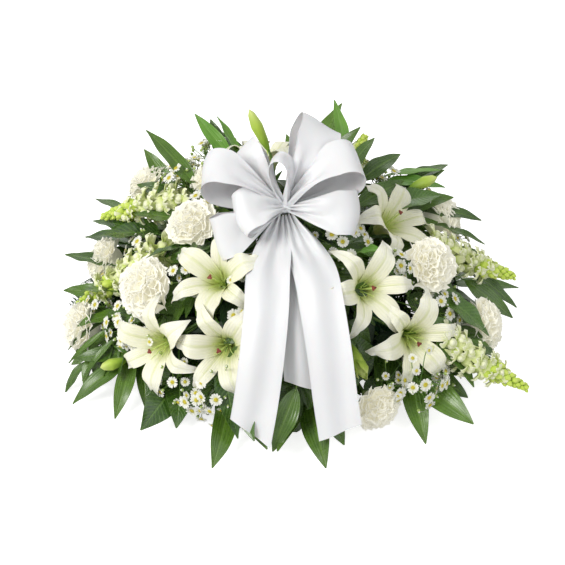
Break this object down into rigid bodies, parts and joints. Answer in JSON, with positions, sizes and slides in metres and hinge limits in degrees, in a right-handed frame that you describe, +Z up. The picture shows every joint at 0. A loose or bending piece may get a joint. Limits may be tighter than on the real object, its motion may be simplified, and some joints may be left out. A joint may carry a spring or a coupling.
{
  "type": "casket spray",
  "caption": "Low, wide casket spray of white lilies, carnations, snapdragons and small asters over mixed greens, with a white satin bow and tails, in a foam tray.",
  "frame": {"origin": "middle of the tray's flat underside, on the surface that the spray lies on", "axes": "+X along the spray's length to its right-hand end, -Y to the front where the tails hang, +Z up"},
  "size_m": [0.7209, 0.5989, 0.3822],
  "materials": {
    "lily_white": "soft satin petals, cream white with a yellow-green throat",
    "carnation_cream": "matte frilled petals, cream white, on a green calyx and stem",
    "snapdragon_lime": "matte florets, lime green to cream, with green buds",
    "aster_white": "matte white rays round yellow buttons on green stalks",
    "stem_green": "smooth fresh green stems and buds",
    "palm_green": "glossy ribbed leaves",
    "salal_green": "glossy net-veined leaves",
    "fern_green": "dull dark fronds",
    "satin_white": "white satin ribbon",
    "pick_wood": "bare sawn wood",
    "tray_green": "moulded dark green",
    "foam_green": "open-pored wet foam"
  },
  "bodies": {
    "root": {"tray": "tray_green", "foam": "foam_green", "bow_pick": "pick_wood", "bow_loops": "satin_white", "bow_tail_left": "satin_white", "bow_tail_middle": "satin_white", "bow_tail_right": "satin_white", "lily_stem_left": "stem_green", "lily_stem_front_right": "stem_green", "lily_stem_right": "stem_green", "lily_stem_top": "stem_green", "lily_stem_back": "stem_green", "lily_1": "lily_white", "lily_2": "lily_white", "lily_3": "lily_white", "lily_4": "lily_white", "lily_5": "lily_white", "lily_6": "lily_white", "lily_7": "lily_white", "lily_8": "lily_white", "carnation_01": "carnation_cream", "carnation_02": "carnation_cream", "carnation_03": "carnation_cream", "carnation_04": "carnation_cream", "carnation_05": "carnation_cream", "carnation_06": "carnation_cream", "carnation_07": "carnation_cream", "carnation_08": "carnation_cream", "carnation_09": "carnation_cream", "carnation_10": "carnation_cream", "carnation_11": "carnation_cream", "carnation_12": "carnation_cream", "snapdragon_1": "snapdragon_lime", "snapdragon_2": "snapdragon_lime", "snapdragon_3": "snapdragon_lime", "snapdragon_4": "snapdragon_lime", "snapdragon_5": "snapdragon_lime", "aster_1": "aster_white", "aster_2": "aster_white", "aster_3": "aster_white", "aster_4": "aster_white", "aster_5": "aster_white", "aster_6": "aster_white", "aster_7": "aster_white", "aster_8": "aster_white", "palm_front_left": "palm_green", "palm_front_right": "palm_green", "palm_corner_right": "palm_green", "palm_right": "palm_green", "palm_left": "palm_green", "palm_top_right": "palm_green", "palm_top": "palm_green", "palm_back": "palm_green", "salal_left": "salal_green", "salal_corner_left": "salal_green", "salal_top": "salal_green", "salal_back": "salal_green", "fern_left": "fern_green", "fern_right": "fern_green"}
  },
  "joints": []
}
